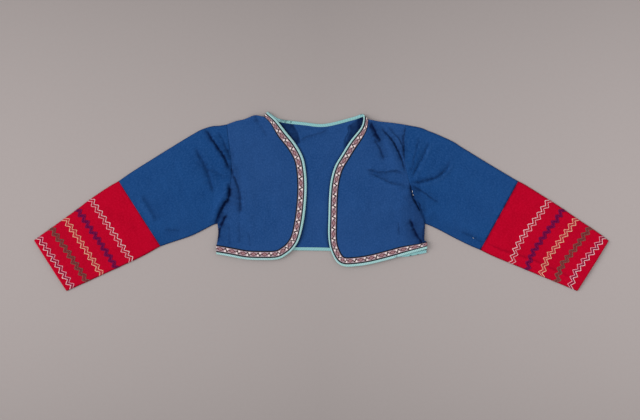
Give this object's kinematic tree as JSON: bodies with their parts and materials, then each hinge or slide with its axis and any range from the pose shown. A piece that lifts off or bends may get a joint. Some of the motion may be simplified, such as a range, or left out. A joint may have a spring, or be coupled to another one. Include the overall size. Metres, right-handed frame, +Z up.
{
  "type": "cropped open-front folk jacket laid flat",
  "caption": "Cropped open-front folk jacket of blue cotton laid flat, with long sleeves, red embroidered cuffs, a woven ribbon and mint binding along its edges.",
  "frame": {"origin": "centre of the bounding box on the surface that the jacket lies on", "axes": "+X along the spread of the sleeves, to the viewer's right as the front is seen from above; +Y towards the neck; +Z up, away from the surface"},
  "size_m": [1.3205, 0.4115, 0.0075],
  "materials": {
    "blue_cotton": "matt plain-weave cotton",
    "red_cotton": "matt plain-weave cotton",
    "woven_ribbon": "woven ribbon with a slight sheen",
    "mint_binding": "ribbed bias binding with a slight sheen",
    "embroidery_thread": "stranded cotton thread with a soft sheen"
  },
  "bodies": {
    "root": {"back": "blue_cotton", "front_left": "blue_cotton", "front_right": "blue_cotton", "sleeve_left": "blue_cotton", "sleeve_right": "blue_cotton", "cuff_left": "red_cotton", "cuff_right": "red_cotton", "ribbon_left": "woven_ribbon", "ribbon_right": "woven_ribbon", "binding_front_left": "mint_binding", "binding_front_right": "mint_binding", "binding_neck_back": "mint_binding", "binding_hem_back": "mint_binding"}
  },
  "joints": []
}
